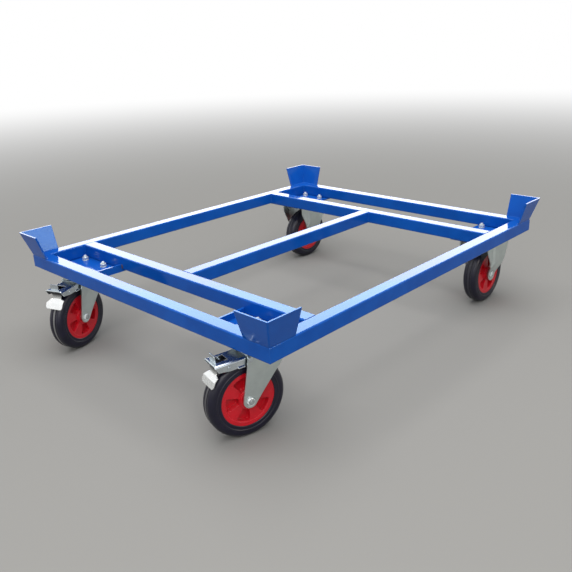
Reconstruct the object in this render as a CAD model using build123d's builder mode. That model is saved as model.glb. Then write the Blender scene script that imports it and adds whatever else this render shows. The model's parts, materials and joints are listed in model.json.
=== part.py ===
import os
from math import asin, cos, hypot, radians, sin

from build123d import *

os.makedirs("parts", exist_ok=True)

# Frame sizes in millimetres
frame_length = 1240
frame_width = 1040
rail_size = 40
rail_wall = 3
rail_corner = 4
front_cross_inset = 153
back_cross_inset = 201

# Corner guides
guide_height = 72
guide_flare = 22
guide_length = 82
guide_thickness = 5

# Castor plates under the frame
plate_thickness = 6
plate_lap = 25
front_plate_reach = 250
back_plate_reach = 170
upstand_height = 17
bolt_pattern_long = 105
bolt_pattern_short = 80

# Castor places, measured from the frame's outer faces
swivel_from_end = 93
swivel_from_side = 123.5
fixed_from_end = 113
fixed_from_side = 104.5
right_heading = -15.3
left_heading = 19.3

# Wheels
wheel_diameter = 200
tyre_width = 46
tyre_shoulder = 14
tread_groove_width = 2.4
tread_groove_depth = 1.5
tread_groove_spread = 6
centre_diameter = 139
rim_width = 42
rim_thickness = 9.5
spoke_face_width = 40
web_thickness = 10
spoke_count = 5
pocket_angle = 38
pocket_rim_inset = 2.5
pocket_hub_inset = 1
pocket_corner = 4
hub_length = 52
hub_diameter = 46
roller_count = 12
roller_diameter = 5
roller_length = 46
swivel_right_turn = -1.8
swivel_left_turn = -21
fixed_right_turn = 31
fixed_left_turn = 10

# Axles
axle_diameter = 10
axle_tube_diameter = 20
axle_head_across = 17
axle_head_height = 6.4
axle_nut_height = 8
axle_thread_end = 1.5
axle_seat_depth = 3
axle_seat_radius = 12.5
axle_seat_rim = 2.5

# Swivel heads
swivel_offset = 55
castor_plate_thickness = 6
castor_plate_long = 135
castor_plate_short = 110
castor_plate_corner = 8
crown_clearance = 15
crown_thickness = 4
crown_diameter = 108
head_gap = 10
ball_count = 16
ball_diameter = 8
ball_pitch_diameter = 54
track_depth = 1.2
track_width = 13
lower_ball_count = 13
lower_ball_diameter = 7
lower_pitch_diameter = 34
lower_track_depth = 1
cup_diameter = 46
cup_thickness = 4.5
kingpin_diameter = 16
kingpin_head_diameter = 28
kingpin_nut_across = 24
kingpin_nut_height = 6
kingpin_end = 1

# Forks
fork_sheet = 4
fork_boss_radius = 18
fork_end_gap = 1
fork_top_spread = 6
fork_bend = 6
fork_knee = 14
fork_crown_depth = 7
fork_crown_trail = 56
fixed_boss_radius = 22
fixed_fork_half_width = 54
fixed_fork_half_length = 70
fixed_skirt = 36
fixed_joggle_top = 54
fixed_joggle_foot = -2
fixed_seat_lift = 2
fixed_bend = 8
panel_height = 6.5
panel_half_width = 32
panel_drop = 14

# Brake housings and levers
housing_clearance = 10
housing_half_width = 30
housing_sheet = 2.5
housing_reach = 80
housing_tuck = 16
housing_bend = 5
flange_depth = 22
flange_outer_depth = 18
flange_rake = 8
front_edge_depth = 5
window_near = 40
window_far = 69
window_half_width = 14.5
window_offset = -3
tab_height = 16
flange_lip_start = 8
flange_lip_reach = 4
flange_lip_length = 18
rivet_out = -4
rivet_drop = 1.5
rivet_diameter = 6
rivet_head = 11
rivet_head_height = 2.2
rivet_seat_depth = 0.5
brake_pin_diameter = 6
brake_pin_drop = 12
brake_pin_out = 45
brake_pin_head = 9
brake_pin_head_height = 1
lever_sheet = 3
lever_eye_diameter = 12
lever_half_width = 18
lever_offset = 6
lever_wall_out = 74
lever_wall_depth = 18
lever_bend = 3
lip_crease_out = 84
lip_crease_drop = 38
lip_end_out = 90
lip_end_drop = 53
lip_right = 31
lip_left = 29
lip_left_top = 19
lip_neck_half_width = 13
lip_corner = 9

# Fasteners of the castor plates
bolt_diameter = 10
bolt_head_across = 17
bolt_head_height = 6.4
bolt_length = 28
nut_height = 8.4
washer_diameter = 20
washer_thickness = 2

# Clearances
hole_clearance = 0.5
running_clearance = 0.08
ball_clearance = 0.08
kingpin_clearance = 0.6
pin_clearance = 0.05
crown_gap = 0.3

# Heights above the floor
wheel_radius = wheel_diameter / 2
axle_height = wheel_radius
crown_underside = wheel_diameter + crown_clearance
crown_top = crown_underside + crown_thickness
housing_top = wheel_diameter + housing_clearance
castor_plate_underside = crown_top + head_gap
castor_height = castor_plate_underside + castor_plate_thickness
rail_underside = castor_height + plate_thickness
rail_middle = rail_underside + rail_size / 2
deck_height = rail_underside + rail_size

# Frame faces, with the origin under the middle of the whole outline
heading_reach = cos(radians(right_heading))
heading_swing = sin(radians(abs(right_heading)))
pedal_end = swivel_offset + lip_end_out + lever_sheet / 2
pedal_reach = pedal_end * heading_reach + lip_right * heading_swing
tread_end = swivel_offset + wheel_radius - tyre_shoulder
tyre_reach = tread_end * heading_reach + (tyre_width / 2 - tyre_shoulder) * heading_swing + tyre_shoulder
front_overhang = max(pedal_reach, tyre_reach) - swivel_from_end
frame_shift = (guide_flare - front_overhang) / 2
front_face = frame_length / 2 + frame_shift
back_face = -frame_length / 2 + frame_shift
side_face = frame_width / 2
front_cross_face = front_face - front_cross_inset
back_cross_face = back_face + back_cross_inset

# Castor places on the floor
swivel_x = front_face - swivel_from_end
swivel_y = side_face - swivel_from_side
fixed_x = back_face + fixed_from_end
fixed_y = side_face - fixed_from_side
swivel_spots = [(swivel_x, -swivel_y), (swivel_x, swivel_y)]
fixed_spots = [(fixed_x, -fixed_y), (fixed_x, fixed_y)]

# Fork gaps and hole sizes
seat_inside = hub_length / 2 + fork_end_gap
seat_outside = seat_inside + fork_sheet
fork_inside = seat_inside + axle_seat_depth
fork_outside = fork_inside + fork_sheet
bolt_hole_radius = bolt_diameter / 2 + hole_clearance
axle_hole_radius = axle_diameter / 2 + pin_clearance
roller_pitch_radius = axle_tube_diameter / 2 + running_clearance + roller_diameter / 2
hub_bore_radius = roller_pitch_radius + roller_diameter / 2 + running_clearance
fork_hole_radius = kingpin_diameter / 2 + kingpin_clearance

# Ball tracks of the swivel head
ball_radius = ball_diameter / 2
ball_height = crown_top - track_depth + ball_clearance + ball_radius
track_ring_underside = ball_height + ball_radius + ball_clearance - track_depth
lower_radius = lower_ball_diameter / 2
lower_ball_height = crown_underside + lower_track_depth - ball_clearance - lower_radius
cup_top = lower_ball_height - lower_radius - ball_clearance + lower_track_depth
cup_underside = cup_top - cup_thickness
kingpin_nut_underside = cup_underside - kingpin_nut_height


def finish(piece, name):
    piece.part.label = name
    export_step(piece.part, f"parts/{name}.step")


def floor_plane(spot, heading):
    turn = radians(heading)
    return Plane(origin=(spot[0], spot[1], 0), x_dir=(cos(turn), sin(turn), 0), z_dir=(0, 0, 1))


def side_plane(floor):
    return Plane(origin=floor.origin, x_dir=floor.x_dir, z_dir=floor.y_dir * -1)


def cross_plane(floor):
    return Plane(origin=floor.origin, x_dir=floor.y_dir, z_dir=floor.x_dir)


def axle_plane(floor, trail):
    middle = floor.from_local_coords((trail, 0, axle_height))
    return Plane(origin=middle, x_dir=floor.x_dir, z_dir=floor.y_dir * -1)


def upright(spot):
    return Axis((spot[0], spot[1], 0), (0, 0, 1))


def across_flats(size):
    return size / 2 / cos(radians(30))


def pattern(spots, along_x, along_y):
    return [
        (x + sx * along_x / 2, y + sy * along_y / 2)
        for x, y in spots
        for sx in (-1, 1)
        for sy in (-1, 1)
    ]


swivel_bolts = pattern(swivel_spots, bolt_pattern_short, bolt_pattern_long)
fixed_bolts = pattern(fixed_spots, bolt_pattern_long, bolt_pattern_short)
all_bolts = swivel_bolts + fixed_bolts


# Box section rails, mitred at the frame's corners
def make_rail(name, middle, run, length, mitres=()):
    bore = rail_size - 2 * rail_wall
    with BuildPart() as rail:
        with BuildSketch(Plane(origin=middle, x_dir=(0, 0, 1), z_dir=run)):
            RectangleRounded(rail_size, rail_size, rail_corner)
            RectangleRounded(bore, bore, rail_corner - rail_wall, mode=Mode.SUBTRACT)
        extrude(amount=length / 2, both=True)
        for corner, keep_side in mitres:
            split(bisect_by=Plane(origin=corner, z_dir=keep_side), keep=Keep.TOP)
    finish(rail, name)


half_rail = rail_size / 2
ends = (("front", front_face, 1), ("back", back_face, -1))
sides = (("left", -1), ("right", 1))

for end_name, face, out in ends:
    cuts = [((face, side * side_face, 0), (out, -side, 0)) for side_name, side in sides]
    middle = (face - out * half_rail, 0, rail_middle)
    make_rail(f"{end_name}_end_rail", middle, (0, 1, 0), frame_width, cuts)

for side_name, side in sides:
    cuts = [((face, side * side_face, 0), (-out, side, 0)) for end_name, face, out in ends]
    middle = (frame_shift, side * (side_face - half_rail), rail_middle)
    make_rail(f"{side_name}_side_rail", middle, (1, 0, 0), frame_length, cuts)

clear_width = frame_width - 2 * rail_size
front_cross_x = front_cross_face - half_rail
back_cross_x = back_cross_face + half_rail
make_rail("front_cross_rail", (front_cross_x, 0, rail_middle), (0, 1, 0), clear_width)
make_rail("back_cross_rail", (back_cross_x, 0, rail_middle), (0, 1, 0), clear_width)
centre_length = front_cross_x - back_cross_x - rail_size
centre_middle = ((front_cross_x + back_cross_x) / 2, 0, rail_middle)
make_rail("centre_rail", centre_middle, (1, 0, 0), centre_length)


# Corner guides, two leaning plates that meet on the corner's mitre
guide_slant = hypot(guide_height, guide_flare)
guide_foot = guide_thickness * guide_slant / guide_height


def make_guide(name, corner, out, along, keep_side):
    plate_out = Vector(*out)
    sweep = plate_out.cross(Vector(0, 0, 1))
    way = 1 if sweep.dot(Vector(*along)) > 0 else -1
    start = Plane(origin=corner, x_dir=out, z_dir=sweep).offset(-way * guide_flare)
    with BuildPart() as guide:
        with BuildSketch(start):
            Polygon(
                (0, 0),
                (guide_flare, guide_height),
                (guide_flare - guide_foot, guide_height),
                (-guide_foot, 0),
            )
        extrude(amount=way * (guide_length + guide_flare))
        split(bisect_by=Plane(origin=corner, z_dir=keep_side), keep=Keep.TOP)
    finish(guide, name)


for end_name, face, out in ends:
    for side_name, side in sides:
        corner = (face, side * side_face, deck_height)
        place = f"guide_{end_name}_{side_name}"
        make_guide(f"{place}_end", corner, (out, 0, 0), (0, -side, 0), (out, -side, 0))
        make_guide(f"{place}_side", corner, (0, side, 0), (-out, 0, 0), (-out, side, 0))


# Castor plates welded under the rails, the front ones folded up along the inner edge
plate_edge = rail_size - plate_lap


def make_castor_plate(name, end, side, cross_inset, reach, bolts, folded):
    face, out = end
    length = cross_inset + plate_lap - plate_edge
    width = reach - plate_edge
    middle_x = face - out * (plate_edge + length / 2)
    middle_y = side * (side_face - plate_edge - width / 2)
    fold_length = cross_inset - rail_size
    fold_x = face - out * (rail_size + fold_length / 2)
    fold_y = side * (side_face - reach + plate_thickness / 2)
    with BuildPart() as plate:
        with BuildSketch(Plane.XY.offset(castor_height)):
            with Locations((middle_x, middle_y)):
                Rectangle(length, width)
            with Locations(*bolts):
                Circle(bolt_hole_radius, mode=Mode.SUBTRACT)
        extrude(amount=plate_thickness)
        if folded:
            with BuildSketch(Plane.XY.offset(castor_height)):
                with Locations((fold_x, fold_y)):
                    Rectangle(fold_length, plate_thickness)
            extrude(amount=plate_thickness + upstand_height)
    finish(plate, name)


for side_name, side in sides:
    name = f"castor_plate_front_{side_name}"
    near = [spot for spot in swivel_bolts if spot[1] * side > 0]
    make_castor_plate(name, (front_face, 1), side, front_cross_inset, front_plate_reach, near, True)
    name = f"castor_plate_back_{side_name}"
    near = [spot for spot in fixed_bolts if spot[1] * side > 0]
    make_castor_plate(name, (back_face, -1), side, back_cross_inset, back_plate_reach, near, False)


# Bolts from below, washers and nuts on top
with BuildPart() as plate_bolts:
    with BuildSketch(Plane.XY.offset(castor_plate_underside)):
        with Locations(*all_bolts):
            RegularPolygon(across_flats(bolt_head_across), 6)
    extrude(amount=-bolt_head_height)
    with BuildSketch(Plane.XY.offset(castor_plate_underside)):
        with Locations(*all_bolts):
            Circle(bolt_diameter / 2)
    extrude(amount=bolt_length)
finish(plate_bolts, "plate_bolts")

with BuildPart() as plate_washers:
    with BuildSketch(Plane.XY.offset(rail_underside)):
        with Locations(*all_bolts):
            Circle(washer_diameter / 2)
            Circle(bolt_hole_radius, mode=Mode.SUBTRACT)
    extrude(amount=washer_thickness)
finish(plate_washers, "plate_washers")

with BuildPart() as plate_nuts:
    with BuildSketch(Plane.XY.offset(rail_underside + washer_thickness)):
        with Locations(*all_bolts):
            RegularPolygon(across_flats(bolt_head_across), 6)
            Circle(bolt_diameter / 2 + pin_clearance, mode=Mode.SUBTRACT)
    extrude(amount=nut_height)
finish(plate_nuts, "plate_nuts")


# Wheels: plastic centre, rubber tyre and loose rollers
def make_wheel(name, floor, trail, turn):
    disc = axle_plane(floor, trail)
    section = cross_plane(floor).offset(trail)
    spin = Axis(disc.origin, floor.y_dir)
    rim_radius = centre_diameter / 2
    rim_inside = rim_radius - rim_thickness
    hub_radius = hub_diameter / 2
    half_rim = rim_width / 2
    half_face = spoke_face_width / 2
    half_hub = hub_length / 2
    half_tyre = tyre_width / 2
    pocket_depth = (spoke_face_width - web_thickness) / 2
    pocket_outside = rim_inside - pocket_rim_inset
    pocket_inside = hub_radius + pocket_hub_inset
    wedge_y = rim_radius * sin(radians(pocket_angle / 2))
    wedge_x = rim_radius * cos(radians(pocket_angle / 2))

    with BuildPart() as centre:
        with BuildSketch(section):
            Polygon(
                (-half_hub, axle_height + hub_bore_radius),
                (half_hub, axle_height + hub_bore_radius),
                (half_hub, axle_height + hub_radius),
                (half_face, axle_height + hub_radius),
                (half_face, axle_height + rim_inside),
                (half_rim, axle_height + rim_inside),
                (half_rim, axle_height + rim_radius),
                (-half_rim, axle_height + rim_radius),
                (-half_rim, axle_height + rim_inside),
                (-half_face, axle_height + rim_inside),
                (-half_face, axle_height + hub_radius),
                (-half_hub, axle_height + hub_radius),
            )
        revolve(axis=spin)
        for hand in (-1, 1):
            with BuildSketch(disc.offset(hand * half_face)) as pockets:
                with PolarLocations(0, spoke_count, turn):
                    Polygon((0, 0), (wedge_x, -wedge_y), (wedge_x, wedge_y))
                Circle(pocket_outside, mode=Mode.INTERSECT)
                Circle(pocket_inside, mode=Mode.SUBTRACT)
                fillet(pockets.vertices(), radius=pocket_corner)
            extrude(amount=-hand * pocket_depth, mode=Mode.SUBTRACT)
    finish(centre, f"{name}_centre")

    with BuildPart() as tyre:
        with BuildSketch(section) as tyre_section:
            with Locations((0, axle_height + (rim_radius + wheel_radius) / 2)):
                Rectangle(tyre_width, wheel_radius - rim_radius)
            fillet(tyre_section.vertices().group_by(Axis.Y)[-1], radius=tyre_shoulder)
            with Locations(
                (-tread_groove_spread, axle_height + wheel_radius),
                (tread_groove_spread, axle_height + wheel_radius),
            ):
                Rectangle(tread_groove_width, 2 * tread_groove_depth, mode=Mode.SUBTRACT)
        revolve(axis=spin)
    finish(tyre, f"{name}_tyre")

    with BuildPart() as rollers:
        with BuildSketch(disc):
            with PolarLocations(roller_pitch_radius, roller_count):
                Circle(roller_diameter / 2)
        extrude(amount=roller_length / 2, both=True)
    finish(rollers, f"{name}_rollers")


# Axles: bolt, nut and the tube the rollers run on
def make_axles(bolt_name, nut_name, tube_name, discs):
    with BuildPart() as bolts:
        for disc in discs:
            with BuildSketch(disc.offset(seat_outside)):
                RegularPolygon(across_flats(axle_head_across), 6)
            extrude(amount=axle_head_height)
            with BuildSketch(disc.offset(seat_outside)):
                Circle(axle_diameter / 2)
            extrude(amount=-2 * seat_outside - axle_nut_height - axle_thread_end)
    finish(bolts, bolt_name)

    with BuildPart() as nuts:
        for disc in discs:
            with BuildSketch(disc.offset(-seat_outside)):
                RegularPolygon(across_flats(axle_head_across), 6)
                Circle(axle_hole_radius, mode=Mode.SUBTRACT)
            extrude(amount=-axle_nut_height)
    finish(nuts, nut_name)

    with BuildPart() as tubes:
        for disc in discs:
            with BuildSketch(disc):
                Circle(axle_tube_diameter / 2)
                Circle(axle_hole_radius, mode=Mode.SUBTRACT)
            extrude(amount=seat_inside, both=True)
    finish(tubes, tube_name)


# Axle seats, dished into the fork legs so that the nut and the bolt's head sit close to the wheel
def seat_bosses(side, trail, face):
    with BuildPart() as bosses:
        for hand in (-1, 1):
            with BuildSketch(side.offset(hand * seat_inside)):
                with Locations((trail, axle_height)):
                    Circle(axle_seat_radius + axle_seat_rim)
            extrude(amount=hand * (face - seat_inside))
    return bosses.part


def seat_hollows(side, trail):
    with BuildPart() as hollows:
        for hand in (-1, 1):
            with BuildSketch(side.offset(hand * seat_outside)):
                with Locations((trail, axle_height)):
                    Circle(axle_seat_radius)
            extrude(amount=hand * fixed_fork_half_width)
        with BuildSketch(side):
            with Locations((trail, axle_height)):
                Circle(axle_hole_radius)
        extrude(amount=seat_outside, both=True)
    return hollows.part


# Fixed forks, plate and legs pressed from one sheet, with a raised panel down each leg
fork_leg = fork_inside + fork_sheet / 2
fixed_skirt_middle = fixed_fork_half_width - fork_sheet / 2
joggle_foot = axle_height + fixed_joggle_foot
joggle_top = axle_height + fixed_joggle_top
panel_top = castor_height - panel_drop


def pressed_panel(floor, hand, inset):
    face = fixed_fork_half_width + panel_height - inset
    back = fixed_skirt_middle - inset
    with BuildPart(mode=Mode.PRIVATE) as panel:
        with BuildSketch(cross_plane(floor)):
            Polygon(
                (hand * (fork_leg - inset), joggle_foot),
                (hand * face, joggle_top),
                (hand * face, panel_top - panel_height),
                (hand * back, panel_top),
                (hand * back, joggle_top),
            )
        extrude(amount=fixed_fork_half_length, both=True)
        with BuildSketch(floor):
            Polygon(
                (-panel_half_width, hand * face),
                (panel_half_width, hand * face),
                (panel_half_width + face, 0),
                (-panel_half_width - face, 0),
            )
        extrude(amount=castor_height, mode=Mode.INTERSECT)
    return panel.part


def make_fixed_fork(name, floor, bolts):
    side = side_plane(floor)
    half_sheet = fork_sheet / 2
    foot = axle_height - fixed_boss_radius - fork_sheet
    with BuildPart() as fork:
        with BuildSketch(cross_plane(floor)):
            with BuildLine():
                FilletPolyline(
                    (-fork_leg, foot),
                    (-fork_leg, joggle_foot),
                    (-fixed_skirt_middle, joggle_top),
                    (-fixed_skirt_middle, castor_height - half_sheet),
                    (fixed_skirt_middle, castor_height - half_sheet),
                    (fixed_skirt_middle, joggle_top),
                    (fork_leg, joggle_foot),
                    (fork_leg, foot),
                    radius=fixed_bend,
                )
                offset(amount=half_sheet)
            make_face()
        extrude(amount=fixed_fork_half_length, both=True)
        for hand in (-1, 1):
            add(pressed_panel(floor, hand, 0))
            add(pressed_panel(floor, hand, fork_sheet), mode=Mode.SUBTRACT)
        with BuildSketch(side) as outline:
            with Locations((0, axle_height)):
                Circle(fixed_boss_radius)
            with Locations((0, castor_height - fixed_skirt / 2)):
                Rectangle(2 * fixed_fork_half_length, fixed_skirt)
            make_hull(outline.edges())
        extrude(amount=2 * fixed_fork_half_width, both=True, mode=Mode.INTERSECT)
        with BuildSketch(floor.offset(castor_height)):
            Rectangle(2 * fixed_fork_half_length, 2 * (fixed_skirt_middle - fixed_bend))
        extrude(amount=-castor_plate_thickness)
        with BuildSketch(Plane.XY.offset(castor_height)):
            with Locations(*bolts):
                Circle(bolt_hole_radius)
        extrude(amount=-castor_plate_thickness, mode=Mode.SUBTRACT)
        add(seat_bosses(side, 0, fork_outside + fixed_seat_lift))
        add(seat_hollows(side, 0), mode=Mode.SUBTRACT)
    finish(fork, name)


fixed_discs = []
turns = (fixed_left_turn, fixed_right_turn)
for (side_name, side), spot, turn in zip(sides, fixed_spots, turns):
    floor = floor_plane(spot, 0)
    near = [place for place in fixed_bolts if place[1] * side > 0]
    make_fixed_fork(f"fixed_fork_{side_name}", floor, near)
    make_wheel(f"fixed_wheel_{side_name}", floor, 0, turn)
    fixed_discs.append(axle_plane(floor, 0))
make_axles("fixed_axle_bolts", "fixed_axle_nuts", "fixed_axle_tubes", fixed_discs)


# Swivel heads: top plate with the upper ball track, kingpin, lower cup and nut
def make_swivel_plate(name, spot, bolts):
    pitch_radius = ball_pitch_diameter / 2
    with BuildPart() as plate:
        with BuildSketch(Plane.XY.offset(castor_plate_underside)):
            with Locations(spot):
                RectangleRounded(castor_plate_short, castor_plate_long, castor_plate_corner)
            with Locations(*bolts):
                Circle(bolt_hole_radius, mode=Mode.SUBTRACT)
        extrude(amount=castor_plate_thickness)
        with BuildSketch(Plane.XY.offset(track_ring_underside)):
            with Locations(spot):
                Circle(pitch_radius + track_width / 2)
                Circle(pitch_radius - track_width / 2, mode=Mode.SUBTRACT)
        extrude(amount=castor_plate_underside - track_ring_underside)
        with Locations((spot[0], spot[1], ball_height)):
            Torus(pitch_radius, ball_radius + ball_clearance, mode=Mode.SUBTRACT)
        with BuildSketch(Plane(origin=(spot[0], spot[1], 0), x_dir=(1, 0, 0), z_dir=(0, -1, 0))):
            Polygon(
                (0, castor_plate_underside),
                (kingpin_diameter / 2, castor_plate_underside),
                (kingpin_head_diameter / 2, castor_height),
                (0, castor_height),
            )
        revolve(axis=upright(spot), mode=Mode.SUBTRACT)
    finish(plate, name)


for (side_name, side), spot in zip(sides, swivel_spots):
    near = [place for place in swivel_bolts if place[1] * side > 0]
    make_swivel_plate(f"swivel_plate_{side_name}", spot, near)

with BuildPart() as kingpins:
    for spot in swivel_spots:
        with BuildSketch(Plane(origin=(spot[0], spot[1], 0), x_dir=(1, 0, 0), z_dir=(0, -1, 0))):
            Polygon(
                (0, kingpin_nut_underside - kingpin_end),
                (kingpin_diameter / 2, kingpin_nut_underside - kingpin_end),
                (kingpin_diameter / 2, castor_plate_underside),
                (kingpin_head_diameter / 2, castor_height),
                (0, castor_height),
            )
        revolve(axis=upright(spot))
finish(kingpins, "kingpins")

with BuildPart() as lower_cups:
    with BuildSketch(Plane.XY.offset(cup_underside)):
        with Locations(*swivel_spots):
            Circle(cup_diameter / 2)
            Circle(kingpin_diameter / 2, mode=Mode.SUBTRACT)
    extrude(amount=cup_thickness)
    with Locations(*[(x, y, lower_ball_height) for x, y in swivel_spots]):
        Torus(lower_pitch_diameter / 2, lower_radius + ball_clearance, mode=Mode.SUBTRACT)
finish(lower_cups, "lower_ball_cups")

with BuildPart() as kingpin_nuts:
    with BuildSketch(Plane.XY.offset(kingpin_nut_underside)):
        with Locations(*swivel_spots):
            RegularPolygon(across_flats(kingpin_nut_across), 6)
            Circle(kingpin_diameter / 2, mode=Mode.SUBTRACT)
    extrude(amount=kingpin_nut_height)
finish(kingpin_nuts, "kingpin_nuts")


def make_balls(name, spot):
    with BuildPart() as balls:
        with Locations((spot[0], spot[1], ball_height)):
            with PolarLocations(ball_pitch_diameter / 2, ball_count):
                Sphere(ball_radius)
        with Locations((spot[0], spot[1], lower_ball_height)):
            with PolarLocations(lower_pitch_diameter / 2, lower_ball_count):
                Sphere(lower_radius)
    finish(balls, name)


# Swivel forks, a crown under the balls and two legs down to the axle, riveted to the brake housing
fork_knee_height = axle_height + fork_knee
crown_middle = crown_top - fork_sheet / 2
rivet_x = swivel_offset + rivet_out
rivet_height = housing_top - rivet_drop
leg_lean = fork_top_spread / (crown_middle - fork_knee_height)
rivet_seat = fork_outside + leg_lean * (rivet_height - fork_knee_height) - rivet_seat_depth


def make_swivel_fork(name, floor):
    side = side_plane(floor)
    foot = axle_height - fork_boss_radius - fork_sheet
    top_outside = fork_outside + fork_top_spread
    crown_radius = crown_diameter / 2
    with BuildPart() as fork:
        with BuildSketch(cross_plane(floor)):
            with BuildLine():
                FilletPolyline(
                    (-fork_leg, foot),
                    (-fork_leg, fork_knee_height),
                    (-fork_leg - fork_top_spread, crown_middle),
                    (fork_leg + fork_top_spread, crown_middle),
                    (fork_leg, fork_knee_height),
                    (fork_leg, foot),
                    radius=fork_bend,
                )
                offset(amount=fork_sheet / 2)
            make_face()
        extrude(amount=crown_diameter, both=True)
        with BuildSketch(side) as outline:
            with Locations((swivel_offset, axle_height)):
                Circle(fork_boss_radius)
            with Locations(((fork_crown_trail - crown_radius) / 2, crown_top - fork_crown_depth / 2)):
                Rectangle(fork_crown_trail + crown_radius, fork_crown_depth)
            make_hull(outline.edges())
        extrude(amount=crown_diameter, both=True, mode=Mode.INTERSECT)
        with BuildSketch(floor) as plan:
            Circle(crown_radius)
            with Locations((swivel_offset / 2 + fork_boss_radius, 0)):
                Rectangle(swivel_offset + 2 * fork_boss_radius, 2 * top_outside)
            make_hull(plan.edges())
        extrude(amount=castor_height, mode=Mode.INTERSECT)
        with BuildSketch(floor.offset(crown_underside)):
            Circle(fork_hole_radius)
        extrude(amount=crown_thickness, mode=Mode.SUBTRACT)
        with Locations(floor.offset(ball_height)):
            Torus(ball_pitch_diameter / 2, ball_radius + ball_clearance, mode=Mode.SUBTRACT)
        with Locations(floor.offset(lower_ball_height)):
            Torus(lower_pitch_diameter / 2, lower_radius + ball_clearance, mode=Mode.SUBTRACT)
        add(seat_bosses(side, swivel_offset, fork_outside))
        add(seat_hollows(side, swivel_offset), mode=Mode.SUBTRACT)
        with BuildSketch(side):
            with Locations((rivet_x, rivet_height)):
                Circle(rivet_diameter / 2)
        extrude(amount=top_outside, both=True, mode=Mode.SUBTRACT)
        for hand in (-1, 1):
            with BuildSketch(side.offset(hand * rivet_seat)):
                with Locations((rivet_x, rivet_height)):
                    Circle(rivet_head / 2)
            extrude(amount=hand * rivet_head_height, mode=Mode.SUBTRACT)
    finish(fork, name)


# Brake housings, a channel of bent sheet that reaches out of the fork over the tyre and dips to its front
brake_pin_x = swivel_offset + brake_pin_out
brake_pin_height = housing_top - brake_pin_drop
housing_length = housing_reach + housing_tuck
housing_dip = asin((crown_underside - crown_gap - housing_top) / housing_length)


def housing_plane(floor):
    front = floor.from_local_coords((swivel_offset + housing_reach, 0, housing_top))
    run = floor.x_dir * cos(housing_dip) - floor.z_dir * sin(housing_dip)
    return Plane(origin=front, x_dir=run, z_dir=run.cross(floor.y_dir))


def make_brake_housing(name, floor):
    deck = housing_plane(floor)
    cross = cross_plane(deck)
    half_sheet = housing_sheet / 2
    wall = housing_half_width - half_sheet
    inside = housing_half_width - housing_sheet
    lip_edge = housing_half_width + flange_lip_reach
    with BuildPart() as housing:
        with BuildSketch(cross.offset(-housing_length)):
            with BuildLine():
                FilletPolyline(
                    (-wall, -flange_depth),
                    (-wall, -half_sheet),
                    (wall, -half_sheet),
                    (wall, -flange_depth),
                    radius=housing_bend,
                )
                offset(amount=half_sheet)
            make_face()
        extrude(amount=housing_length)
        with BuildSketch(cross.offset(-housing_sheet)):
            with Locations((0, -front_edge_depth / 2)):
                Rectangle(2 * wall - 2 * housing_bend, front_edge_depth)
        extrude(amount=housing_sheet)
        with BuildSketch(side_plane(deck)):
            Polygon(
                (-housing_length, -flange_depth),
                (brake_pin_out - housing_reach, -flange_depth),
                (-flange_rake, -flange_outer_depth),
                (0, -front_edge_depth),
                (0, -flange_depth - housing_sheet),
                (-housing_length, -flange_depth - housing_sheet),
            )
        extrude(amount=housing_half_width, both=True, mode=Mode.SUBTRACT)
        for hand in (-1, 1):
            with BuildSketch(cross.offset(flange_lip_start - housing_reach)):
                Polygon(
                    (hand * inside, -flange_depth),
                    (hand * lip_edge, -flange_depth),
                    (hand * lip_edge, housing_sheet - flange_depth),
                    (hand * housing_half_width, 2 * housing_sheet - flange_depth),
                    (hand * inside, 2 * housing_sheet - flange_depth),
                )
            extrude(amount=flange_lip_length)
        with BuildSketch(deck):
            with Locations(((window_near + window_far) / 2 - housing_reach, window_offset)):
                Rectangle(window_far - window_near, 2 * window_half_width)
        extrude(amount=-housing_sheet, mode=Mode.SUBTRACT)
        with BuildSketch(deck.offset(-housing_sheet)):
            with Locations((window_far + half_sheet - housing_reach, window_offset)):
                Rectangle(housing_sheet, 2 * window_half_width)
        extrude(amount=housing_sheet + tab_height)
        with BuildSketch(side_plane(floor)):
            with Locations((brake_pin_x, brake_pin_height)):
                Circle(brake_pin_diameter / 2)
            with Locations((rivet_x, rivet_height)):
                Circle(rivet_diameter / 2)
        extrude(amount=housing_half_width, both=True, mode=Mode.SUBTRACT)
    finish(housing, name)


# Brake pins, the lever's pivot in the housing and the rivet that holds the housing in the fork
def make_brake_pins(name, floor):
    side = side_plane(floor)
    pivot = (brake_pin_x, brake_pin_height, brake_pin_diameter, brake_pin_head)
    rivet = (rivet_x, rivet_height, rivet_diameter, rivet_head)
    with BuildPart() as pins:
        for (x, height, diameter, head), seat, head_height in (
            (pivot, housing_half_width, brake_pin_head_height),
            (rivet, rivet_seat, rivet_head_height),
        ):
            with BuildSketch(side):
                with Locations((x, height)):
                    Circle(diameter / 2)
            extrude(amount=seat, both=True)
            for hand in (-1, 1):
                with BuildSketch(side.offset(hand * seat)):
                    with Locations((x, height)):
                        Circle(head / 2)
                extrude(amount=hand * head_height)
    finish(pins, name)


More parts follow.
